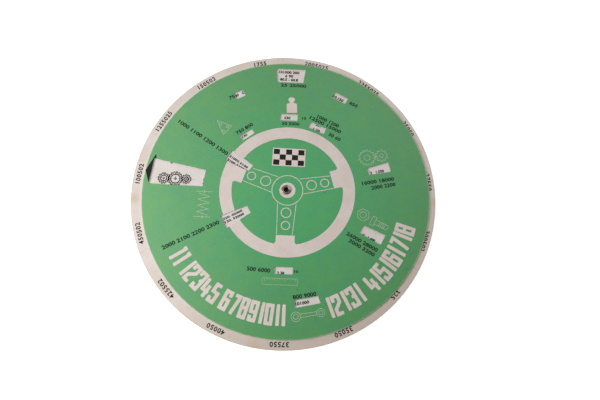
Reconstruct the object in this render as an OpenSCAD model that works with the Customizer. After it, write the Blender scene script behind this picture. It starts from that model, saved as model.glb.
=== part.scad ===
// Wheel chart: a printed front dial with cut windows turns on an eyelet over a larger data disc.
// Z is the eyelet's axis and the front faces +Z. The eyelet's set end lies flat on the plane Z = 0.
// Angles run anticlockwise from +X, seen from the front.

/* [Cards] */
// Diameter of the data disc, the larger card
disc_d = 200; // [170:1:260]
// Width of the data disc's rim that shows round the front dial
rim_w = 5.5; // [3:0.25:12]
// Thickness of the data disc
disc_t = 0.5; // [0.3:0.05:1]
// Thickness of the front dial
dial_t = 0.5; // [0.3:0.05:1]
// Air between the two cards
card_gap = 0.1; // [0.05:0.01:0.3]
// How far the cutting die rounds over the front edge of a card
edge_break = 0.08; // [0.02:0.01:0.2]
// Middle of the data disc seen from the eyelet: the hole is punched a little off
disc_offset = [-1.3, -1.8]; // [-3:0.1:3]
// Middle of the front dial seen from the eyelet
dial_offset = [0.2, -1.3]; // [-3:0.1:3]

/* [Outer windows: gap to the dial's edge, length inwards, inner width, outer width] */
// Radius of the windows' corners
corner_r = 0.4; // [0.1:0.05:1]
// Angle of the picture window
picture_at = 174.7; // [170:0.1:180]
// Picture window, beside the pointer
picture_size = [4.5, 35.3, 11.5, 17.8]; // [3:0.1:40]
// Angle of the top window
top_at = 91; // [86:0.1:96]
// Top window, for three lines of data
top_size = [5.6, 10.4, 18.1, 20.6]; // [3:0.1:30]
// Angle of the outer left slot
outer_left_at = 118.2; // [112:0.1:122]
// Outer left slot
outer_left_size = [15.8, 4.9, 6.8, 6.8]; // [3:0.1:30]
// Angle of the outer right slot
outer_right_at = 63.9; // [60:0.1:70]
// Outer right slot
outer_right_size = [15.8, 4.7, 10.1, 10.1]; // [3:0.1:30]
// Angle of the upper right window
right_upper_at = 16.3; // [10:0.1:22]
// Upper right window
right_upper_size = [23.6, 14.9, 4.9, 7]; // [3:0.1:30]
// Angle of the lower right window
right_lower_at = 334.6; // [330:0.1:340]
// Lower right window
right_lower_size = [23.7, 15.4, 5.8, 7.4]; // [3:0.1:30]
// Angle of the outer bottom slot
outer_bottom_at = 283.2; // [278:0.1:290]
// Outer bottom slot
outer_bottom_size = [18.4, 4.7, 14.9, 16.4]; // [3:0.1:30]

/* [Inner windows: inner radius, length outwards, inner width, outer width] */
// Angle of the upper long window
upper_long_at = 150.7; // [145:0.1:156]
// Upper long window, for two lines of data
upper_long_size = [28, 17.6, 5.1, 8.6]; // [3:0.1:50]
// Angle of the lower long window
lower_long_at = 211.2; // [206:0.1:216]
// Lower long window, for two lines of data
lower_long_size = [27.6, 18.5, 5.4, 9.2]; // [3:0.1:50]
// Angle of the inner left slot
inner_left_at = 127.3; // [122:0.1:132]
// Inner left slot
inner_left_size = [45.4, 3.7, 9.7, 9.7]; // [3:0.1:60]
// Angle of the inner top slot
inner_top_at = 91.2; // [86:0.1:96]
// Inner top slot
inner_top_size = [49.6, 4.8, 11.9, 11.9]; // [3:0.1:60]
// Angle of the inner right slot
inner_right_at = 67.6; // [64:0.1:72]
// Inner right slot
inner_right_size = [46.6, 4.5, 11.5, 11.5]; // [3:0.1:60]
// Angle of the inner bottom slot
inner_bottom_at = 271.3; // [266:0.1:276]
// Inner bottom slot
inner_bottom_size = [50.9, 4.6, 11.6, 11.6]; // [3:0.1:60]

/* [Eyelet] */
// Diameter of the hole through the eyelet
bore_d = 3.2; // [2.5:0.1:4]
// Thickness of the eyelet's sheet metal
sheet_t = 0.28; // [0.2:0.02:0.4]
// Diameter of the flange on the front
flange_d = 6.6; // [6:0.1:9]
// Height of the flange's crest above the front dial
flange_rise = 0.75; // [0.6:0.05:1.2]
// Radius of the bend from the bore to the crest
bend_r = 0.6; // [0.45:0.05:0.8]
// Diameter of the end that is set flat behind the data disc
clinch_d = 5.8; // [5.2:0.1:8]
// Number of splits in the set end
split_count = 6; // [4:1:8]
// Width of a split
split_w = 0.25; // [0.1:0.05:0.5]
// Length of a split, from the outside inwards
split_len = 0.5; // [0.2:0.05:0.6]

/* [Fits] */
// Running clearance of the front dial's hole round the barrel, on the radius
dial_fit = 0.08; // [0.03:0.01:0.1]
// Clearance of the data disc's hole round the barrel, on the radius
disc_fit = 0.05; // [0.02:0.01:0.1]
// Clearance between the front dial and the flange's edge
flange_gap = 0.05; // [0.02:0.01:0.2]

/* [Hidden] */
$fn = 180;
arc_steps = 8;
corner_steps = 3;
cut_over = 1;

dial_d = disc_d - 2 * rim_w;
bore_r = bore_d / 2;
barrel_r = bore_r + sheet_t;
flange_r = flange_d / 2;
clinch_r = clinch_d / 2;

// Heights of the stack, from the set end to the flange's crest
disc_z = sheet_t;
dial_z = disc_z + disc_t + card_gap;
dial_top = dial_z + dial_t;
crest_z = dial_top + flange_rise;

// The flange's dome: an arc of the sheet's middle surface, from the crest down to the rolled edge
crest_r = bore_r + bend_r;
edge_c = [flange_r - sheet_t / 2, dial_top + flange_gap + sheet_t / 2];
dome_run = edge_c.x - crest_r;
dome_drop = crest_z - sheet_t / 2 - edge_c.y;
dome_r = (dome_run * dome_run + dome_drop * dome_drop) / (2 * dome_drop);
dome_c = [crest_r, crest_z - sheet_t / 2 - dome_r];
dome_end = acos(dome_run / dome_r);

// The set end's bend: its inside just fits into the clearance of the data disc's hole
clinch_in = disc_fit;
clinch_out = clinch_in + sheet_t;

// Points along an arc; first = 1 leaves out the point that the line before it already has
function arc(centre, r, from, to, steps, first = 0) =
    [for (i = [first:steps]) let (a = from + (to - from) * i / steps) centre + r * [cos(a), sin(a)]];

function unit(v) = v / norm(v);

// Arc that rounds the corner b of an anticlockwise outline, between the points a and c
function round_corner(a, b, c, r) =
    let (
        u = unit(a - b),
        v = unit(c - b),
        half = acos(u * v) / 2,
        centre = b + unit(u + v) * r / sin(half),
        start = b + u * r / tan(half) - centre,
        from = atan2(start.y, start.x)
    )
    arc(centre, r, from, from + 180 - 2 * half, corner_steps);

function rounded(outline, r) =
    let (n = len(outline))
    [for (i = [0:n - 1]) each round_corner(outline[(i + n - 1) % n], outline[i], outline[(i + 1) % n], r)];

// Outline of a window on the +X axis, wider or narrower towards the outside
function keystone(r_in, r_out, w_in, w_out) =
    [[r_in, -w_in / 2], [r_out, -w_out / 2], [r_out, w_out / 2], [r_in, w_in / 2]];

// Section through the eyelet's sheet, from the set end up the bore, over the dome and back outside
eyelet_section = concat(
    [[clinch_r, 0]],
    arc([bore_r + clinch_out, clinch_out], clinch_out, 270, 180, arc_steps),
    arc([crest_r, crest_z - bend_r], bend_r, 180, 90, arc_steps),
    arc(dome_c, dome_r + sheet_t / 2, 90, dome_end, arc_steps, 1),
    arc(edge_c, sheet_t / 2, dome_end, dome_end - 180, arc_steps, 1),
    arc(dome_c, dome_r - sheet_t / 2, dome_end, 90, arc_steps, 1),
    arc([crest_r, crest_z - bend_r], bend_r - sheet_t, 90, 180, arc_steps, 1),
    arc([barrel_r + clinch_in, sheet_t + clinch_in], clinch_in, 180, 270, arc_steps),
    [[clinch_r, sheet_t]]
);

// Round card whose front edge is rounded over by the die
module card(d, t) {
    r = d / 2;
    rotate_extrude()
        polygon([[0, 0], [r, 0], [r, t - edge_break], [r - edge_break, t], [0, t]]);
}

// Hole for the eyelet's barrel, through both cards
module barrel_hole(clearance) {
    translate([0, 0, -cut_over])
        cylinder(r = barrel_r + clearance, h = crest_z + 2 * cut_over);
}

// Window between two radii, cut right through the front dial
module window_cut(at, r_in, r_out, w_in, w_out) {
    rotate(at)
        translate([0, 0, dial_z - card_gap / 2])
            linear_extrude(dial_t + card_gap)
                polygon(rounded(keystone(r_in, r_out, w_in, w_out), corner_r));
}

// Outer windows keep their distance to the dial's edge
module outer_window(at, size) {
    r_out = dial_d / 2 - size[0];
    window_cut(at, r_out - size[1], r_out, size[2], size[3]);
}

// Inner windows keep their distance to the eyelet
module inner_window(at, size) {
    window_cut(at, size[0], size[0] + size[1], size[2], size[3]);
}

module windows() {
    outer_window(picture_at, picture_size);
    outer_window(top_at, top_size);
    outer_window(outer_left_at, outer_left_size);
    outer_window(outer_right_at, outer_right_size);
    outer_window(right_upper_at, right_upper_size);
    outer_window(right_lower_at, right_lower_size);
    outer_window(outer_bottom_at, outer_bottom_size);
    inner_window(upper_long_at, upper_long_size);
    inner_window(lower_long_at, lower_long_size);
    inner_window(inner_left_at, inner_left_size);
    inner_window(inner_top_at, inner_top_size);
    inner_window(inner_right_at, inner_right_size);
    inner_window(inner_bottom_at, inner_bottom_size);
}

// Larger off-white card that carries the data; it rests on the eyelet's set end
module data_disc() {
    color("#DED6D0")
        difference() {
            translate([disc_offset.x, disc_offset.y, disc_z]) card(disc_d, disc_t);
            barrel_hole(disc_fit);
        }
}

// Smaller green card with the windows, free to turn between the data disc and the flange
module front_dial() {
    color("#589B68")
        difference() {
            translate([dial_offset.x, dial_offset.y, dial_z]) card(dial_d, dial_t);
            barrel_hole(dial_fit);
            windows();
        }
}

// Splits that open in the eyelet's end when it is set
module splits() {
    for (i = [0:split_count - 1])
        rotate((i + 0.5) * 360 / split_count)
            translate([clinch_r - split_len, -split_w / 2, -cut_over])
                cube([split_len + cut_over, split_w, sheet_t + cut_over + clinch_in / 2]);
}

// Hollow rivet of sheet metal: domed flange, barrel, and end set flat behind the data disc
module eyelet() {
    color("#A8A49C")
        difference() {
            rotate_extrude() polygon(eyelet_section);
            splits();
        }
}

data_disc();
front_dial();
eyelet();
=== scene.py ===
import math
import bpy
from mathutils import Matrix, Vector


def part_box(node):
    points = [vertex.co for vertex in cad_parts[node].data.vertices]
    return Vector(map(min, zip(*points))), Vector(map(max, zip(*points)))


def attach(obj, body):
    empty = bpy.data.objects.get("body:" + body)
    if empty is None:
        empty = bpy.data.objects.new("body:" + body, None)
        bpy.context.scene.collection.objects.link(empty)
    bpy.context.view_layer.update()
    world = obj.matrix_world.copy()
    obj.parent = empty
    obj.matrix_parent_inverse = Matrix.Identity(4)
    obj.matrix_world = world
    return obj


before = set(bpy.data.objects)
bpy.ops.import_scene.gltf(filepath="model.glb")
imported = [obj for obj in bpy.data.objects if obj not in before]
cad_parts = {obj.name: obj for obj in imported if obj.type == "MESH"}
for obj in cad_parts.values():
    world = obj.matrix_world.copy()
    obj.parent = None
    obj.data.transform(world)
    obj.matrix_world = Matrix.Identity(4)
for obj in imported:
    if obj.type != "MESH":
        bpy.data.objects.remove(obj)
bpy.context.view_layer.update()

# Camera
# The photograph looks down on the chart from its lower side, rolled a few degrees about the view.
# Its angles, distance and focal length were fitted to the two card edges and the printed rings.
mm = 0.001
photo_width_px = 600
focal_px = 521.4
sensor_mm = 36.0
view_azimuth = math.radians(-2.0)
view_elevation = math.radians(74.12)
view_roll = math.radians(4.96)
view_distance = 341.5 * mm
nearest_seen = 10 * mm
dial_low, dial_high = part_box("front_dial")
view_aim = Vector((9.37 * mm, -6.4 * mm, dial_high.z))

back = Vector((
    math.sin(view_azimuth) * math.cos(view_elevation),
    -math.cos(view_azimuth) * math.cos(view_elevation),
    math.sin(view_elevation),
))
level_right = Vector((math.cos(view_azimuth), math.sin(view_azimuth), 0))
level_up = back.cross(level_right)
right = math.cos(view_roll) * level_right + math.sin(view_roll) * level_up
up = math.cos(view_roll) * level_up - math.sin(view_roll) * level_right
bpy.ops.object.select_all(action="DESELECT")
bpy.ops.object.camera_add()
camera = bpy.context.object
camera.matrix_world = (
    Matrix.Translation(view_aim + view_distance * back)
    @ Matrix((right, up, back)).transposed().to_4x4()
)
camera.data.sensor_width = sensor_mm
camera.data.lens = sensor_mm * focal_px / photo_width_px
camera.data.clip_start = nearest_seen
bpy.context.scene.camera = camera

# Data disc
# The larger card: white uncoated board, die-cut round. The front of its rim has lain in the light and is
# yellowed and spotted, and is painted darker and browner towards the lower right, partly as shade; its back
# and the part under the dial stayed whiter. The CAD solid is shown as it is.
disc_low, disc_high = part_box("data_disc")
disc_middle = (disc_low + disc_high) / 2
disc_r = (disc_high.x - disc_low.x) / 2
dial_r = (dial_high.x - dial_low.x) / 2
disc_cloud_size, fleck_size, fibre_size = 14 * mm, 3.2 * mm, 0.9 * mm
board_grain, board_grain_depth = 0.5, 0.06 * mm
board_fibre_share = 0.045
# The front of the rim is painted darker and browner towards this side, partly as shade and partly as age
darker_side, darker_from, darker_to = (0.45, -0.9, 0), 35 * mm, 95 * mm
# Place and radius of each stain on the rim, in millimetres, and how far its edge wanders
rim_stains = ((-99, -11, 6), (98, -3, 5), (-14, -101, 8))
stain_wander = 4 * mm


# Linear colour from the hex value of an sRGB one
def linear(hex_colour):
    channels = [int(hex_colour[i:i + 2], 16) / 255 for i in (1, 3, 5)]
    return [c / 12.92 if c <= 0.04045 else ((c + 0.055) / 1.055) ** 2.4 for c in channels] + [1.0]


# Adds one shader node, links or sets its inputs by number or name, and gives the output that is named or
# else the first one in use
def add_node(tree, kind, inputs, output=None, **settings):
    added = tree.nodes.new(kind)
    for name, value in settings.items():
        setattr(added, name, value)
    for place, value in inputs.items():
        if isinstance(place, int):
            socket = added.inputs[place]
        else:
            socket = next(s for s in added.inputs if s.enabled and s.name == place)
        if isinstance(value, bpy.types.NodeSocket):
            tree.links.new(value, socket)
        else:
            socket.default_value = value
    if output:
        return added.outputs[output]
    return next((s for s in added.outputs if s.enabled), None)


def start_material(name, roughness):
    material = bpy.data.materials.new(name)
    material.use_nodes = True
    tree = material.node_tree
    shader = tree.nodes["Principled BSDF"]
    shader.inputs["Roughness"].default_value = roughness
    coords = add_node(tree, "ShaderNodeTexCoord", {}, "Object")
    return material, tree, shader, coords


# Distance of each place from the upright axis through x and y
def from_axis(tree, coords, x, y):
    flat = add_node(tree, "ShaderNodeVectorMath", {0: coords, 1: (1, 1, 0)}, operation="MULTIPLY")
    return add_node(tree, "ShaderNodeVectorMath", {0: flat, 1: (x, y, 0)}, operation="DISTANCE")


# Fibres of a card, bare or printed: they vary its tone by a share to both sides and roughen its surface
def show_fibres(tree, shader, fibres, tone, share, grain, grain_depth):
    fibrous = add_node(
        tree, "ShaderNodeMapRange",
        {"Value": fibres, "From Min": 0.3, "From Max": 0.7, "To Min": 1 + share, "To Max": 1 - share},
    )
    tone = add_node(tree, "ShaderNodeVectorMath", {0: tone, "Scale": fibrous}, operation="SCALE")
    rough = add_node(
        tree, "ShaderNodeBump", {"Height": fibres, "Strength": grain, "Distance": grain_depth}
    )
    tree.links.new(tone, shader.inputs["Base Color"])
    tree.links.new(rough, shader.inputs["Normal"])


# Uncoated board scatters light evenly and shows soft clouds, yellowing and brown spots of age, and painted
# shade with some browning on the front of its rim towards the lower right.
# Its fibres are about 0.1 mm; they are drawn at 0.9 mm, as coarse as the render can show.
aged_board, tree, shader, coords = start_material("aged_uncoated_board", 0.85)
from_middle = from_axis(tree, coords, disc_middle.x, disc_middle.y)
clouds = add_node(
    tree, "ShaderNodeTexNoise", {"Vector": coords, "Scale": 1 / disc_cloud_size, "Detail": 3.0}
)
flecks = add_node(tree, "ShaderNodeTexNoise", {"Vector": coords, "Scale": 1 / fleck_size, "Detail": 4.0})
fibres = add_node(tree, "ShaderNodeTexNoise", {"Vector": coords, "Scale": 1 / fibre_size, "Detail": 5.0})
rim = add_node(
    tree, "ShaderNodeMapRange",
    {"Value": from_middle, "From Min": dial_r - 2 * mm, "From Max": dial_r + 1 * mm},
)
height = add_node(tree, "ShaderNodeSeparateXYZ", {0: coords}, "Z")
front = add_node(
    tree, "ShaderNodeMapRange", {"Value": height, "From Min": disc_low.z, "From Max": disc_middle.z}
)
rim = add_node(tree, "ShaderNodeMath", {0: rim, 1: front}, operation="MULTIPLY")
cloudy = add_node(tree, "ShaderNodeMapRange", {"Value": clouds, "From Min": 0.35, "From Max": 0.65})
covered = add_node(
    tree, "ShaderNodeMix",
    {"Factor": cloudy, "A": linear("#D2CBC7"), "B": linear("#CDC5BF")}, data_type="RGBA",
)
rim_tone = add_node(
    tree, "ShaderNodeMix",
    {"Factor": cloudy, "A": linear("#CFC5BE"), "B": linear("#CABDB2")}, data_type="RGBA",
)
# Painted shade, partly browning of age: the front of the rim darkens and browns towards the lower right
lower_side = add_node(
    tree, "ShaderNodeVectorMath", {0: coords, 1: darker_side}, "Value", operation="DOT_PRODUCT"
)
darker_lower_right = add_node(
    tree, "ShaderNodeMapRange", {"Value": lower_side, "From Min": darker_from, "From Max": darker_to}
)
rim_tone = add_node(
    tree, "ShaderNodeMix", {"Factor": darker_lower_right, "A": rim_tone, "B": linear("#C0B1A5")}, data_type="RGBA"
)
board = add_node(tree, "ShaderNodeMix", {"Factor": rim, "A": covered, "B": rim_tone}, data_type="RGBA")
spotted = add_node(
    tree, "ShaderNodeMapRange", {"Value": flecks, "From Min": 0.6, "From Max": 0.76, "To Max": 0.25}
)
foxing = add_node(tree, "ShaderNodeMath", {0: spotted, 1: rim}, operation="MULTIPLY")
board = add_node(
    tree, "ShaderNodeMix", {"Factor": foxing, "A": board, "B": linear("#A98D6C")}, data_type="RGBA"
)
for x, y, r in rim_stains:
    away = from_axis(tree, coords, x * mm, y * mm)
    ragged = add_node(
        tree, "ShaderNodeMath", {0: flecks, 1: stain_wander, 2: away}, operation="MULTIPLY_ADD"
    )
    soaked = add_node(
        tree, "ShaderNodeMapRange",
        {
            "Value": ragged, "From Min": stain_wander / 2, "From Max": r * mm + stain_wander / 2,
            "To Min": 0.4, "To Max": 0.0,
        },
        interpolation_type="SMOOTHSTEP",
    )
    stain = add_node(tree, "ShaderNodeMath", {0: soaked, 1: rim}, operation="MULTIPLY")
    board = add_node(
        tree, "ShaderNodeMix", {"Factor": stain, "A": board, "B": linear("#B79A73")}, data_type="RGBA"
    )
rubbed = add_node(
    tree, "ShaderNodeMapRange",
    {"Value": from_middle, "From Min": disc_r - 0.6 * mm, "From Max": disc_r + 0.1 * mm, "To Max": 0.45},
)
board = add_node(
    tree, "ShaderNodeMix", {"Factor": rubbed, "A": board, "B": linear("#9C8A78")}, data_type="RGBA"
)
show_fibres(tree, shader, fibres, board, board_fibre_share, board_grain, board_grain_depth)


def dress(piece, material):
    piece.data.materials.clear()
    piece.data.materials.append(material)


dress(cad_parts["data_disc"], aged_board)

# Data print
# Black figures printed on the data disc: a value at each of fifteen places on the rim, and for each of
# them the lines that show in the windows. The print is centred on the disc, not on the eyelet.
# All print is laid out in millimetres and degrees, and a layer of ink is its lowest and highest Z.
entry_count = 15
entry_turn = 360 / entry_count
first_entry_angle = 175.5
rim_print_r = 96.2
rim_cap, rim_weight, rim_spacing = 3.0, 0.03, 1.15
# The value of an entry is its own number and as many figures of the tail as are listed for it
rim_tail, tail_lengths = "50250", (3, 4, 3, 1, 4, 4, 2, 2, 3, 0, 2, 2, 2, 3, 3)
data_cap, small_cap, data_weight = 1.9, 1.5, 0.045
ink_t = 0.015 * mm
disc_ink = (disc_high.z, disc_high.z + ink_t)
middle_x, middle_y = disc_middle.x / mm, disc_middle.y / mm
# Points nearer to each other than this are made one
weld = 0.0005 * mm


# Sets figures as a thin solid. The weight lets out their outline, and they fill the length if it is given.
def set_figures(text, cap, x, y, turn, layer, weight, length=None, spacing=1.0):
    bpy.ops.object.select_all(action="DESELECT")
    bpy.ops.object.text_add()
    letters = bpy.context.object
    letters.data.body = text
    letters.data.align_x = "CENTER"
    letters.data.align_y = "CENTER"
    letters.data.extrude = 0.5
    letters.data.offset = weight
    letters.data.space_character = spacing
    letters.data.resolution_u = 2
    bpy.context.view_layer.update()
    # At size 1 the font's capitals are 0.7 high, and the letters are 1 thick until the layer scales them
    font_cap = 0.7
    tall = cap * mm / font_cap
    wide = length * mm / letters.dimensions.x if length else tall
    bpy.ops.object.convert(target="MESH")
    low, high = layer
    letters.data.transform(
        Matrix.Translation((x * mm, y * mm, (low + high) / 2))
        @ Matrix.Rotation(math.radians(turn), 4, "Z")
        @ Matrix.Diagonal((wide, tall, high - low, 1))
    )
    return letters


# Draws a chain of edges through the points, and leaves it selected in edit mode
def draw_chain(points):
    bpy.ops.object.select_all(action="DESELECT")
    bpy.ops.mesh.primitive_plane_add(size=mm, location=(points[0][0] * mm, points[0][1] * mm, 0))
    bpy.ops.object.mode_set(mode="EDIT")
    bpy.ops.mesh.merge(type="CENTER")
    for (x0, y0), (x1, y1) in zip(points, points[1:]):
        step = ((x1 - x0) * mm, (y1 - y0) * mm, 0)
        bpy.ops.mesh.extrude_vertices_move(TRANSFORM_OT_translate={"value": step})
    bpy.ops.mesh.select_all(action="SELECT")
    bpy.ops.mesh.remove_doubles(threshold=2 * weld)


def draw_circle(x, y, r, sides):
    bpy.ops.object.select_all(action="DESELECT")
    bpy.ops.mesh.primitive_circle_add(vertices=sides, radius=r * mm, location=(x * mm, y * mm, 0))
    bpy.ops.object.mode_set(mode="EDIT")


# Turns the drawn edges into a line of ink: raised to the layer's height and widened to both sides
def widen_edges(width, layer):
    low, high = layer
    bpy.ops.mesh.extrude_edges_move(TRANSFORM_OT_translate={"value": (0, 0, high - low)})
    bpy.ops.mesh.select_all(action="SELECT")
    bpy.ops.mesh.normals_make_consistent(inside=False)
    bpy.ops.object.mode_set(mode="OBJECT")
    line = bpy.context.object
    widen = line.modifiers.new("width", "SOLIDIFY")
    widen.thickness = width * mm
    widen.offset = 0
    widen.use_even_offset = True
    bpy.ops.object.modifier_apply(modifier=widen.name)
    line.location.z = low
    bpy.ops.object.transform_apply(location=True, rotation=True, scale=True)
    return line


# Turns the drawn edges, which are closed, into a solid patch of ink
def fill_edges(layer):
    low, high = layer
    bpy.ops.mesh.edge_face_add()
    bpy.ops.mesh.extrude_region_move(TRANSFORM_OT_translate={"value": (0, 0, high - low)})
    bpy.ops.mesh.select_all(action="SELECT")
    bpy.ops.mesh.normals_make_consistent(inside=False)
    bpy.ops.object.mode_set(mode="OBJECT")
    patch = bpy.context.object
    patch.location.z = low
    bpy.ops.object.transform_apply(location=True, rotation=True, scale=True)
    return patch


def ink_line(points, width, layer):
    draw_chain(points)
    return widen_edges(width, layer)


def ink_ring(x, y, r, sides, width, layer):
    draw_circle(x, y, r, sides)
    return widen_edges(width, layer)


def ink_patch(points, layer):
    draw_chain(points)
    return fill_edges(layer)


def join_shapes(shapes, name):
    bpy.ops.object.select_all(action="DESELECT")
    for shape in shapes:
        shape.select_set(True)
    bpy.context.view_layer.objects.active = shapes[0]
    bpy.ops.object.join()
    joined = bpy.context.object
    joined.name = name
    bpy.ops.object.mode_set(mode="EDIT")
    bpy.ops.mesh.select_all(action="SELECT")
    bpy.ops.mesh.remove_doubles(threshold=weld)
    bpy.ops.mesh.dissolve_degenerate(threshold=weld)
    bpy.ops.object.mode_set(mode="OBJECT")
    return joined


# Brings points from a frame of their own to the print, where that frame stands at x and y and is turned
def placed(points, x, y, turn):
    along, aside = math.cos(math.radians(turn)), math.sin(math.radians(turn))
    return [(x + u * along - v * aside, y + u * aside + v * along) for u, v in points]


def box_outline(x0, y0, x1, y1):
    return [(x0, y0), (x1, y0), (x1, y1), (x0, y1), (x0, y0)]


# The profile says at which shares of the pitch a tooth starts to rise, is up, starts to fall and is down
def gear_outline(x, y, teeth, root_r, tip_r):
    pitch = 2 * math.pi / teeth
    profile = ((0.3, root_r), (0.45, tip_r), (0.8, tip_r), (0.95, root_r))
    points = []
    for tooth in range(teeth):
        for share, r in profile:
            a = (tooth + share) * pitch
            points.append((x + r * math.cos(a), y + r * math.sin(a)))
    return points + points[:1]


# The picture of one entry: a train of three gears with their centre lines, over a thin plate
train_y, train_left, train_right = 3.9, -86.5, -60.0
gears = ((-81.2, 12, 3.3), (-73.5, 16, 4.4), (-66.3, 10, 2.8))
half_tooth, web_inset, gear_bore_r, centre_overrun = 0.4, 1.3, 0.6, 0.9
tooth_line, web_line, bore_line, centre_line, plate_line = 0.5, 0.7, 0.35, 0.14, 0.16
plate_left, plate_right, plate_low, plate_high = -85.5, -61.0, train_y - 5.1, train_y - 4.9
picture_parts = []
for x, teeth, r in gears:
    centre_ends = ((x, train_y - r - centre_overrun), (x, train_y + r + centre_overrun))
    picture_parts += [
        ink_line(gear_outline(x, train_y, teeth, r - half_tooth, r + half_tooth), tooth_line, disc_ink),
        ink_ring(x, train_y, r - web_inset, 32, web_line, disc_ink),
        ink_ring(x, train_y, gear_bore_r, 16, bore_line, disc_ink),
        ink_line(centre_ends, centre_line, disc_ink),
    ]
picture_parts += [
    ink_line(((train_left, train_y), (train_right, train_y)), centre_line, disc_ink),
    ink_line(box_outline(plate_left, plate_low, plate_right, plate_high), plate_line, disc_ink),
]
picture = join_shapes(picture_parts, "picture")

figures = [picture]
to_middle = Matrix.Translation((disc_middle.x, disc_middle.y, 0))
for k in range(entry_count):
    turned = -entry_turn * k
    if k:
        copied = picture.copy()
        copied.data = picture.data.copy()
        bpy.context.collection.objects.link(copied)
        about_middle = to_middle @ Matrix.Rotation(math.radians(turned), 4, "Z") @ to_middle.inverted()
        copied.data.transform(about_middle)
        figures.append(copied)
    rim_angle = first_entry_angle + turned
    x, y = placed([(rim_print_r, 0)], middle_x, middle_y, rim_angle)[0]
    value = f"{100 + 25 * k}" + rim_tail[:tail_lengths[k]]
    figures.append(
        set_figures(value, rim_cap, x, y, rim_angle - 90, disc_ink, rim_weight, spacing=rim_spacing)
    )
    # Cap height, place, turn and length of each line at the first entry, and what it says for this one
    lines = [
        (data_cap, -38.5, 66.2, 28, 4.0, f"{430 + 4 * k}"),
        (data_cap, 32.2, 68.5, -26, 8.0, f"{10 + k}.{150 + 50 * k}"),
        (data_cap, -2.1, 51.6, 1, 4.4, f"{530 + 7 * k}"),
        (small_cap, -30.4, 36.6, 37, 4.0, f"{130 + 4 * k}"),
        (data_cap, 17.9, 43.9, -22, 5.0, f"{1.2 + 0.03 * k:.2f}"),
        (data_cap, -0.5, -54.9, 1, 4.6, f"{2.38 + 0.02 * k:.2f}"),
        (data_cap, 59.9, 15.9, 13, 9.5, f"2   1.{500 + 12 * k}"),
        (data_cap, 54.9, -29.4, -25, 9.0, f"2   1.{480 + 14 * k}"),
        (data_cap, -3.0, 86.5, 0, 14.6, f"{101000 + 250 * k} {200 + k}"),
        (data_cap, -2.6, 83.6, 0, 5.8, f"{6 + k} 90"),
        (data_cap, -2.5, 80.8, 0, 12.7, f"{80 + k}.5 - {60 + k}.8"),
        (small_cap, -32.9, 18.0, -32, 15.0, f"{21000 + k} {6100 + k}"),
        (small_cap, -34.7, 16.1, -30, 13.3, f"{3100 + k} {5100 + k}"),
        (small_cap, -33.8, -18.7, 29, 13.8, f"{220 + k}. {42000 + k}"),
        (small_cap, -32.6, -20.9, 29, 13.6, f"{120 + k}. {52000 + k}"),
    ]
    # Every fifth entry leaves the outer bottom slot blank
    if k % 5 != 1:
        lines.append((data_cap, 13.8, -72.8, 13, 8.7, f"{101000 + 3700 * k}"))
    for cap, x, y, turn, length, text in lines:
        x, y = placed([(x - middle_x, y - middle_y)], middle_x, middle_y, turned)[0]
        figures.append(set_figures(text, cap, x, y, turn + turned, disc_ink, data_weight, length))
data_print = join_shapes(figures, "data_print")
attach(data_print, "base")


# Black offset ink dries matt and is patchy at about a millimetre, where it thins out
def mix_black_ink(name, full_tone, thin_tone):
    material, tree, shader, coords = start_material(name, 0.8)
    shader.inputs["Specular IOR Level"].default_value = 0.3
    thin = add_node(tree, "ShaderNodeTexNoise", {"Vector": coords, "Scale": 1 / (1.1 * mm), "Detail": 3.0})
    patchy = add_node(tree, "ShaderNodeMapRange", {"Value": thin, "From Min": 0.4, "From Max": 0.75})
    tone = add_node(
        tree, "ShaderNodeMix",
        {"Factor": patchy, "A": linear(full_tone), "B": linear(thin_tone)}, data_type="RGBA",
    )
    tree.links.new(tone, shader.inputs["Base Color"])
    return material


# On bare board the thin places leave it a soft dark grey.
black_ink = mix_black_ink("black_offset_ink", "#0C0B0C", "#1C1A1B")
dress(data_print, black_ink)

# Front dial
# The smaller card: the same board, with die-cut windows. It shows as the white of the print, where no
# ink covers it, and at its cut edges. The CAD solid is shown as it is.
dial_cloud_size = 12 * mm

# The board is a little creamier than the data disc under it, with the same soft clouds and fibres.
dial_board, tree, shader, coords = start_material("cream_uncoated_board", 0.82)
clouds = add_node(
    tree, "ShaderNodeTexNoise", {"Vector": coords, "Scale": 1 / dial_cloud_size, "Detail": 3.0}
)
fibres = add_node(tree, "ShaderNodeTexNoise", {"Vector": coords, "Scale": 1 / fibre_size, "Detail": 5.0})
cloudy = add_node(tree, "ShaderNodeMapRange", {"Value": clouds, "From Min": 0.35, "From Max": 0.65})
board = add_node(
    tree, "ShaderNodeMix",
    {"Factor": cloudy, "A": linear("#D2C6BF"), "B": linear("#CBBEB6")}, data_type="RGBA",
)
show_fibres(tree, shader, fibres, board, board_fibre_share, board_grain, board_grain_depth)
dress(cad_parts["front_dial"], dial_board)

# Green ink
# One flat film of green over the dial's front, printed before its windows were cut. The wheel, the large
# figures, the weight and the line drawings are spared from it, so the bare board shows white there.
dial_top = dial_high.z
film = (dial_top, dial_top + ink_t)
# A knock-out reaches past the film on both sides
cut = (dial_top - 3 * ink_t, dial_top + 4 * ink_t)
# Middle of the wheel and of the arc that the large figures stand on
print_x, print_y = 0.75, -0.18
knock_outs = []

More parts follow.
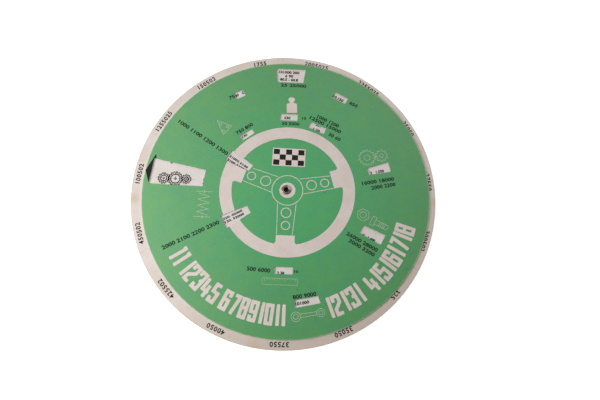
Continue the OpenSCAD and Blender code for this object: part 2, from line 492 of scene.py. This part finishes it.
# The wheel: a broad ring, three spokes that are drawn in outline and flare into it, and the hub
wheel_r, wheel_w = 40.68, 8.02
root_r, root_w, root_lip, root_fillet, fillet_steps = 30.3, 12.2, 0.6, 2.0, 5
hub_r, hub_line, spot_r = 10.16, 0.5, 5.3
spoke_angles, spoke_line, hole_line = (16.7, 162.5, 270.6), 0.4, 0.55
knock_outs.append(ink_ring(print_x, print_y, wheel_r, 160, wheel_w, cut))
flare_r = wheel_r - wheel_w / 2 - root_fillet - root_lip
root_side = [(root_r, root_w / 2)]
for step in range(fillet_steps + 1):
    a = math.radians(90 - 90 * step / fillet_steps)
    root_side.append((
        flare_r + root_fillet * math.cos(a),
        root_w / 2 + root_fillet - root_fillet * math.sin(a),
    ))
root_side.append((wheel_r, root_w / 2 + root_fillet))
root_outline = root_side + [(r, -w) for r, w in reversed(root_side)] + root_side[:1]
for spoke_angle in spoke_angles:
    knock_outs.append(ink_patch(placed(root_outline, print_x, print_y, spoke_angle), cut))
spoke_lines = (
    ((-5.8, 8.8), (-23.0, 13.8)), ((-9.8, -2.0), (-29.5, 5.0)), ((8.5, 8.0), (28.5, 11.3)),
    ((11.0, -2.3), (31.0, 2.8)), ((-5.2, -9.0), (-4.6, -30.0)), ((7.0, -9.0), (5.5, -30.0)),
)
for ends in spoke_lines:
    knock_outs.append(ink_line(ends, spoke_line, cut))
spoke_holes = (
    (-23.5, 8.4, 2.7), (-13.9, 5.4, 3.3), (16.5, 4.2, 3.2), (25.1, 6.2, 2.7),
    (0.7, -15.5, 3.2), (0.8, -24.0, 2.7),
)
for x, y, r in spoke_holes:
    knock_outs.append(ink_ring(x, y, r, 48, hole_line, cut))
knock_outs.append(ink_ring(print_x, print_y, hub_r, 96, hub_line, cut))
draw_circle(print_x, print_y, spot_r, 64)
knock_outs.append(fill_edges(cut))

# The weight, which leans a little, and the panel that the chequers are printed on
weight_x, weight_y, weight_lean = 0.6, 59.0, 4.5
weight_side = [(3.5, -3.5), (3.6, 2.8), (3.0, 3.5), (1.6, 3.7), (1.4, 4.9)]
weight_outline = weight_side + [(-u, v) for u, v in reversed(weight_side)] + weight_side[:1]
head_rise, half_head_w, half_head_h, head_steps = 6.4, 2.3, 1.75, 32
head_outline = []
for step in range(head_steps + 1):
    a = 2 * math.pi * step / head_steps
    head_outline.append((half_head_w * math.cos(a), head_rise + half_head_h * math.sin(a)))
for outline in (weight_outline, head_outline):
    knock_outs.append(ink_patch(placed(outline, weight_x, weight_y, weight_lean), cut))
panel_x, panel_y, panel_w, panel_h = -10.5, 16.5, 22.0, 12.7
knock_outs.append(ink_patch(box_outline(panel_x, panel_y, panel_x + panel_w, panel_y + panel_h), cut))

# Large condensed figures round the bottom, their feet on the outer arc. Each stroke runs from point to
# point of a frame that is 1 wide and 1 high, and the corners are eased a little afterwards.
figure_strokes = {
    "0": [((0, 0), (1, 0), (1, 1), (0, 1), (0, 0))],
    "1": [((-0.1, 1), (1, 1), (1, -0.08))],
    "2": [((0, 0.7), (0, 1), (1, 1), (1, 0.62), (0, 0.3), (0, 0), (1, 0))],
    "3": [((0, 0.74), (0, 1), (1, 1), (1, 0.52), (0.4, 0.52)), ((1, 0.6), (1, 0), (0, 0), (0, 0.26))],
    "4": [((0, 1), (0, 0.3), (1.3, 0.3)), ((0.85, 0.7), (0.85, -0.08))],
    "5": [((1, 1), (0, 1), (0, 0.56), (1, 0.56), (1, 0), (0, 0), (0, 0.26))],
    "6": [((1, 0.74), (1, 1), (0, 1), (0, 0), (1, 0), (1, 0.54), (0.1, 0.54))],
    "7": [((0, 1), (1, 1), (0.35, -0.08))],
    "8": [((0, 0), (1, 0), (1, 1), (0, 1), (0, 0)), ((0.1, 0.53), (0.9, 0.53))],
    "9": [((0, 0.26), (0, 0), (1, 0), (1, 1), (0, 1), (0, 0.46), (0.9, 0.46))],
}
figure_foot_r, figure_h, figure_stroke, figure_gap, figure_ease = 87.3, 13.3, 2.2, 0.7, 0.45
figure_mid_r = figure_foot_r - figure_h / 2
narrow_share = 0.55
# Figures of each group, and the angles between which they stand
figure_groups = (
    ("11", 212.4, 218.4), ("12345", 221.0, 241.2), ("67891011", 243.0, 272.3),
    ("12131", 291.0, 308.3), ("415161718", 312.0, 346.0),
)


# Eases the upright corners of the active piece of ink
def ease_corners(ease):
    bpy.ops.object.mode_set(mode="EDIT")
    bpy.ops.mesh.select_mode(type="EDGE")
    bpy.ops.mesh.select_all(action="DESELECT")
    bpy.ops.object.mode_set(mode="OBJECT")
    mesh = bpy.context.object.data
    for edge in mesh.edges:
        foot, head = (mesh.vertices[v].co for v in edge.vertices)
        edge.select = abs(head.z - foot.z) > ink_t
    bpy.ops.object.mode_set(mode="EDIT")
    bpy.ops.mesh.bevel(offset=ease * mm, segments=2, affect="EDGES")
    bpy.ops.mesh.select_mode(type="VERT")
    bpy.ops.object.mode_set(mode="OBJECT")


for group, start, end in figure_groups:
    shares = [narrow_share if figure == "1" else 1 for figure in group]
    arc_length = math.radians(end - start) * figure_mid_r
    unit = (arc_length - figure_gap * (len(group) - 1)) / sum(shares)
    reached = 0
    for figure, share in zip(group, shares):
        width = unit * share
        turn = start + math.degrees((reached + width / 2) / figure_mid_r)
        reached += width + figure_gap
        for stroke in figure_strokes[figure]:
            points = []
            for u, v in stroke:
                r = figure_foot_r - figure_stroke / 2 - v * (figure_h - figure_stroke)
                points.append((r, (u - 0.5) * (width - figure_stroke)))
            knock_outs.append(ink_line(placed(points, print_x, print_y, turn), figure_stroke, cut))
            ease_corners(figure_ease)

# Small line drawings beside the windows: a spring, a bracket, two gears, a nut and bolt, a rule and a
# ring spanner
drawing_line, rule_line = 0.2, 0.13
spring_x, spring_top, spring_turns = -53.5, -4.0, 7
half_coil, coil_rise, coil_gap, half_seat, stem = 3.6, 2.1, 1.2, 5.5, 1.5
coils = []
for step in range(spring_turns + 1):
    side = half_coil if step % 2 else -half_coil
    coils.append((spring_x + side, spring_top - coil_gap - coil_rise * step))
first_y, last_y = coils[0][1], coils[-1][1]
spring_bottom = last_y - coil_gap
drawings = [
    coils,
    ((spring_x - half_seat, spring_top), (spring_x + half_seat, spring_top)),
    ((spring_x - half_seat, spring_bottom), (spring_x + half_seat, spring_bottom)),
    ((spring_x, first_y), (spring_x, spring_top + stem)),
    ((spring_x, last_y), (spring_x, spring_bottom - stem)),
    ((-49.8, 46.8), (-39.6, 43.4), (-44.6, 36.6), (-49.8, 46.8)),
    gear_outline(53.0, 25.6, 14, 4.6, 5.6),
    gear_outline(62.6, 27.6, 10, 3.2, 4.2),
]
for points in drawings:
    knock_outs.append(ink_line(points, drawing_line, cut))

# Place, radius and number of sides of the rings: in the bracket, the gears, the nut and the ring spanner
rings = (
    (-47.4, 44.2, 0.9, 32), (-42.3, 42.6, 0.9, 32), (-44.8, 39.2, 0.9, 32),
    (53.0, 25.6, 2.0, 32), (62.6, 27.6, 1.3, 32),
    (51.0, -14.2, 2.1, 32), (51.0, -14.2, 4.2, 6),
    (10.4, -81.2, 2.9, 32), (10.4, -81.2, 1.7, 6), (25.7, -77.9, 2.5, 32), (25.7, -77.9, 1.4, 6),
)
for x, y, r, sides in rings:
    knock_outs.append(ink_ring(x, y, r, sides, drawing_line, cut))

# Bolt, rule and the spanner's shank are drawn lying along X, and then placed and turned
thread_starts = (5.5, 6.7, 7.9, 9.1)
bolt = [box_outline(0, -3, 2.6, 3), ((2.6, -1.6), (11, -1.6), (11.8, 0), (11, 1.6), (2.6, 1.6))]
bolt += [((start, -1.6), (start + 0.6, 1.6)) for start in thread_starts]
rule = [box_outline(-11, -2, 11, 2)]
for step in range(13):
    mark_x = -9.6 + 1.6 * step
    rule.append(((mark_x, 2), (mark_x, 0.9 if step % 4 else 0.2)))
shank = [((-5.2, 1.1), (5.4, 0.9)), ((-5.2, -1.1), (5.4, -0.9))]
for chains, x, y, turn, width in (
    (bolt, 56.4, -17.4, -25, drawing_line),
    (rule, -0.7, -60.2, 1, rule_line),
    (shank, 18.2, -79.5, 12, drawing_line),
):
    for chain in chains:
        knock_outs.append(ink_line(placed(chain, x, y, turn), width, cut))

# The film is the dial's own front face, raised by the ink's thickness, less all that is knocked out of it
facing_front = 0.9
bpy.ops.object.select_all(action="DESELECT")
green_film = bpy.data.objects.new("green_ink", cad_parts["front_dial"].data.copy())
bpy.context.collection.objects.link(green_film)
bpy.context.view_layer.objects.active = green_film
green_film.select_set(True)
bpy.ops.object.mode_set(mode="EDIT")
bpy.ops.mesh.select_all(action="SELECT")
bpy.ops.mesh.remove_doubles(threshold=weld)
bpy.ops.mesh.select_mode(type="FACE")
bpy.ops.mesh.select_all(action="DESELECT")
bpy.ops.object.mode_set(mode="OBJECT")
for face in green_film.data.polygons:
    face.select = not (face.normal.z > facing_front and face.center.z > dial_top - ink_t)
bpy.ops.object.mode_set(mode="EDIT")
bpy.ops.mesh.delete(type="FACE")
bpy.ops.mesh.select_mode(type="VERT")
bpy.ops.mesh.select_all(action="SELECT")
bpy.ops.mesh.extrude_region_move(TRANSFORM_OT_translate={"value": (0, 0, ink_t)})
bpy.ops.mesh.select_all(action="SELECT")
bpy.ops.mesh.normals_make_consistent(inside=False)
bpy.ops.object.mode_set(mode="OBJECT")
cutter = join_shapes(knock_outs, "knock_outs")
bpy.context.view_layer.objects.active = green_film
knock = green_film.modifiers.new("knock_outs", "BOOLEAN")
knock.operation = "DIFFERENCE"
knock.solver = "EXACT"
knock.use_self = True
knock.object = cutter
bpy.ops.object.modifier_apply(modifier=knock.name)
bpy.data.objects.remove(cutter)
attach(green_film, "dial")

# Green offset ink has a slight sheen. It has lost a little colour towards the edge and is paler still
# towards the left, is uneven where the board took less of it, rubbed thin along the cut edge, and has a few
# specks of dirt.
green_cloud_size = 9 * mm
green_fibre_share, green_grain, green_grain_depth = -0.05, 0.4, 0.04 * mm
rub_wander = 1.2 * mm
speck_spacing, largest_speck, speck_edge = 16 * mm, 0.7 * mm, 0.3 * mm
dial_middle = (dial_low + dial_high) / 2
green_ink, tree, shader, coords = start_material("green_offset_ink", 0.5)
clouds = add_node(
    tree, "ShaderNodeTexNoise", {"Vector": coords, "Scale": 1 / green_cloud_size, "Detail": 6.0}
)
fibres = add_node(tree, "ShaderNodeTexNoise", {"Vector": coords, "Scale": 1 / fibre_size, "Detail": 5.0})
outwards = from_axis(tree, coords, 0, 0)
bleached = add_node(
    tree, "ShaderNodeMapRange", {"Value": outwards, "From Min": 20 * mm, "From Max": dial_r}
)
green_tone = add_node(
    tree, "ShaderNodeMix",
    {"Factor": bleached, "A": linear("#499D65"), "B": linear("#52905B")}, data_type="RGBA",
)
# Paler towards the left
across = add_node(tree, "ShaderNodeSeparateXYZ", {0: coords}, "X")
left = add_node(
    tree, "ShaderNodeMapRange", {"Value": across, "From Min": 0.0, "From Max": -dial_r, "To Max": 0.5}
)
green_tone = add_node(
    tree, "ShaderNodeMix", {"Factor": left, "A": green_tone, "B": linear("#7CB07F")}, data_type="RGBA"
)
mottled = add_node(tree, "ShaderNodeMath", {0: fibres, 1: 0.35, 2: clouds}, operation="MULTIPLY_ADD")
uneven = add_node(tree, "ShaderNodeMapRange", {"Value": mottled, "From Min": 0.45, "From Max": 0.9})
tint = add_node(
    tree, "ShaderNodeMix",
    {"Factor": uneven, "A": linear("#E9F9FF"), "B": linear("#FFFFEB")}, data_type="RGBA",
)
tone = add_node(
    tree, "ShaderNodeMix", {"Factor": 1.0, "A": green_tone, "B": tint}, data_type="RGBA", blend_type="MULTIPLY"
)
from_middle = from_axis(tree, coords, dial_middle.x, dial_middle.y)
ragged = add_node(
    tree, "ShaderNodeMath", {0: fibres, 1: rub_wander, 2: from_middle}, operation="MULTIPLY_ADD"
)
rubbed = add_node(
    tree, "ShaderNodeMapRange",
    {"Value": ragged, "From Min": dial_r - 0.2 * mm, "From Max": dial_r + 0.6 * mm, "To Max": 0.5},
)
tone = add_node(
    tree, "ShaderNodeMix", {"Factor": rubbed, "A": tone, "B": linear("#B4B994")}, data_type="RGBA"
)
speck_away = add_node(
    tree, "ShaderNodeTexVoronoi", {"Vector": coords, "Scale": 1 / speck_spacing}, "Distance",
    voronoi_dimensions="2D",
)
speck_r = add_node(
    tree, "ShaderNodeMapRange",
    {
        "Value": speck_away.node.outputs["Color"], "From Min": 0.64, "From Max": 0.84,
        "To Max": largest_speck / speck_spacing,
    },
)
inside = add_node(tree, "ShaderNodeMath", {0: speck_r, 1: speck_away}, operation="SUBTRACT")
specked = add_node(
    tree, "ShaderNodeMapRange",
    {"Value": inside, "From Min": 0.0, "From Max": speck_edge / speck_spacing, "To Max": 0.5},
)
tone = add_node(
    tree, "ShaderNodeMix", {"Factor": specked, "A": tone, "B": linear("#35573A")}, data_type="RGBA"
)
show_fibres(tree, shader, fibres, tone, green_fibre_share, green_grain, green_grain_depth)
dress(green_film, green_ink)

# Black print
# The dial's second colour, printed over the green: the pointer beside the picture window, and chequers
# on the bare panel, with a hair's breadth between those that meet at a corner.
over = (dial_top + ink_t, dial_top + 2 * ink_t)
pointer_outline = (
    (-87.9, 20.4), (-89.2, 17.9), (-93.6, 8.5), (-90.5, -0.1), (-88.88, 16.9), (-88.75, 17.25),
    (-87.4, 17.05), (-87.9, 20.4),
)
columns, rows, panel_margin, corner_gap = 5, 3, 0.7, 0.04
square_w = (panel_w - 2 * panel_margin) / columns
square_h = (panel_h - 2 * panel_margin) / rows
black_parts = [ink_patch(pointer_outline, over)]
for column in range(columns):
    for row in range(rows):
        if (column + row) % 2 == 0:
            x = panel_x + panel_margin + column * square_w
            y = panel_y + panel_margin + row * square_h
            square = box_outline(x, y, x + square_w - corner_gap, y + square_h - corner_gap)
            black_parts.append(ink_patch(square, film))
black_print = join_shapes(black_parts, "black_print")
dress(black_print, black_ink)
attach(black_print, "dial")

# Label print
# Small figures printed over the green with the same black ink as the pointer, a line or two at each
# window of the dial.
label_weight = 0.035
# Text and cap height of each line, and its two ends on the dial
labels = (
    ("1000 1100 1200 1300", 2.5, (-76.0, 45.0), (-41.0, 23.0)),
    ("2000 2100 2200 2300", 2.5, (-76.5, -43.0), (-42.0, -24.0)),
    ("25 25000", 2.3, (-8.1, 76.1), (9.8, 76.1)),
    ("50 5000", 2.2, (-5.6, 47.2), (6.4, 47.2)),
    ("750 800", 2.4, (-35.9, 37.9), (-25.4, 45.6)),
    ("75", 2.3, (-42.9, 63.8), (-39.3, 65.7)),
    ("450", 2.3, (40.0, 65.5), (45.8, 62.8)),
    ("1000 1200", 2.4, (18.1, 54.0), (33.0, 47.3)),
    ("12500 15000", 2.4, (13.0, 53.0), (34.5, 43.0)),
    ("30 60", 2.4, (26.6, 41.3), (34.6, 37.2)),
    ("10", 1.9, (7.7, 51.7), (10.5, 51.7)),
    ("16000 18000", 2.4, (49.5, 7.0), (70.8, 11.5)),
    ("2000 2200", 2.4, (56.1, 4.2), (72.1, 7.9)),
    ("26000 28000", 2.4, (40.5, -27.0), (60.5, -37.5)),
    ("3000 3200", 2.4, (42.0, -31.5), (58.5, -40.5)),
    ("500 6000", 2.5, (-22.0, -53.1), (-7.1, -53.8)),
    ("10", 1.6, (7.5, -53.5), (10.3, -53.5)),
    ("800 9000", 2.5, (7.9, -69.7), (22.5, -66.7)),
)
label_lines = []
for text, cap, (x0, y0), (x1, y1) in labels:
    turn = math.degrees(math.atan2(y1 - y0, x1 - x0))
    length = math.hypot(x1 - x0, y1 - y0)
    label_lines.append(
        set_figures(text, cap, (x0 + x1) / 2, (y0 + y1) / 2, turn, over, label_weight, length)
    )
label_print = join_shapes(label_lines, "label_print")
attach(label_print, "dial")

# Black ink this thin lets a little of the green under it through, and reads as a very dark green.
dress(label_print, mix_black_ink("thin_black_ink_over_green", "#0A1D12", "#163524"))

# Eyelet
# A hollow rivet pressed from thin sheet: domed flange in front, barrel through both cards, end set flat
# behind them. The CAD solid is shown as it is.
wear_size = 1.2 * mm

# Worn nickel plate is a warm grey with a soft gloss, browned where the plate has gone.
nickel, tree, shader, coords = start_material("worn_nickel_plate", 0.4)
shader.inputs["Metallic"].default_value = 1.0
wear = add_node(tree, "ShaderNodeTexNoise", {"Vector": coords, "Scale": 1 / wear_size, "Detail": 4.0})
browned = add_node(tree, "ShaderNodeMapRange", {"Value": wear, "From Min": 0.42, "From Max": 0.68})
plate = add_node(
    tree, "ShaderNodeMix",
    {"Factor": browned, "A": linear("#948A80"), "B": linear("#685949")}, data_type="RGBA",
)
gloss = add_node(
    tree, "ShaderNodeMapRange",
    {"Value": wear, "From Min": 0.3, "From Max": 0.7, "To Min": 0.34, "To Max": 0.5},
)
tree.links.new(plate, shader.inputs["Base Color"])
tree.links.new(gloss, shader.inputs["Roughness"])
dress(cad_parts["eyelet"], nickel)

# Floor and light
# A plain white table top that the camera sees as white, with the chart's own soft shadow on it, and painted
# dark as shade where the chart covers it, which shows through the eyelet's bore. A soft lamp stands at the
# left and a wider, weaker one behind on the right, and the room fills in from all around. Its walls are
# seen as white and its ceiling is dimmer.
table_size, table_gap = 6.0, 0.02 * mm
white_near, white_far, white_reach = 0.66, 1.0, 150 * mm
room_level = 0.27
# Rise of the line of sight, as a sine, at which the walls start to dim and the ceiling starts
wall_top, ceiling_start = 0.37, 0.42
bpy.ops.object.select_all(action="DESELECT")
bpy.ops.mesh.primitive_plane_add(size=table_size, location=(0, 0, -table_gap))
floor = bpy.context.object
floor.name = "floor"
table_top, tree, shader, coords = start_material("white_table_top", 0.9)
away = from_axis(tree, coords, disc_middle.x, disc_middle.y)
outside = add_node(
    tree, "ShaderNodeMapRange",
    {"Value": away, "From Min": disc_r - 4 * mm, "From Max": disc_r - 1 * mm},
)
# Painted shade: the table is dark under the chart, and this shows through the eyelet's bore
table = add_node(
    tree, "ShaderNodeMix",
    {"Factor": outside, "A": linear("#2A2622"), "B": linear("#E4E2E0")}, data_type="RGBA",
)
tree.links.new(table, shader.inputs["Base Color"])


# 1 for what the camera sees, also by way of metal or glass, and 0 for the light that falls on the chart
def seen_directly(tree):
    seen = add_node(tree, "ShaderNodeLightPath", {}, "Is Camera Ray")
    for ray in ("Is Glossy Ray", "Is Transmission Ray"):
        other = add_node(tree, "ShaderNodeLightPath", {}, ray)
        seen = add_node(tree, "ShaderNodeMath", {0: seen, 1: other}, operation="MAXIMUM")
    return seen


seen = seen_directly(tree)
lift = add_node(
    tree, "ShaderNodeMapRange",
    {
        "Value": away, "From Min": disc_r, "From Max": disc_r + white_reach,
        "To Min": white_near, "To Max": white_far,
    },
)
glow = add_node(tree, "ShaderNodeMath", {0: seen, 1: outside}, operation="MULTIPLY")
glow = add_node(tree, "ShaderNodeMath", {0: glow, 1: lift}, operation="MULTIPLY")
white = add_node(tree, "ShaderNodeEmission", {"Color": (1, 1, 1, 1), "Strength": glow})
shown = add_node(tree, "ShaderNodeAddShader", {0: shader.outputs[0], 1: white})
tree.links.new(shown, tree.nodes["Material Output"].inputs["Surface"])
dress(floor, table_top)

# Place and size in metres and energy in watts of each lamp; both point at the eyelet
lamps = (((-0.36, -0.12, 0.22), 0.25, 2.05), ((0.2, 0.37, 0.33), 0.45, 1.2))
for place, size, energy in lamps:
    bpy.ops.object.light_add(type="AREA", location=place)
    lamp = bpy.context.object
    lamp.data.size = size
    lamp.data.energy = energy
    lamp.rotation_euler = (-lamp.location).to_track_quat("-Z", "Y").to_euler()

world = bpy.data.worlds.new("room")
bpy.context.scene.world = world
world.use_nodes = True
tree = world.node_tree
direction = add_node(tree, "ShaderNodeTexCoord", {}, "Generated")
height = add_node(tree, "ShaderNodeSeparateXYZ", {0: direction}, "Z")
walls = add_node(
    tree, "ShaderNodeMapRange",
    {"Value": height, "From Min": wall_top, "From Max": ceiling_start, "To Min": 1.0, "To Max": room_level},
)
seen = seen_directly(tree)
level = add_node(tree, "ShaderNodeMix", {"Factor": seen, "A": room_level, "B": walls}, data_type="FLOAT")
background = tree.nodes["Background"]
background.inputs["Color"].default_value = (1, 1, 1, 1)
tree.links.new(level, background.inputs["Strength"])
bpy.context.scene.view_settings.view_transform = "Standard"
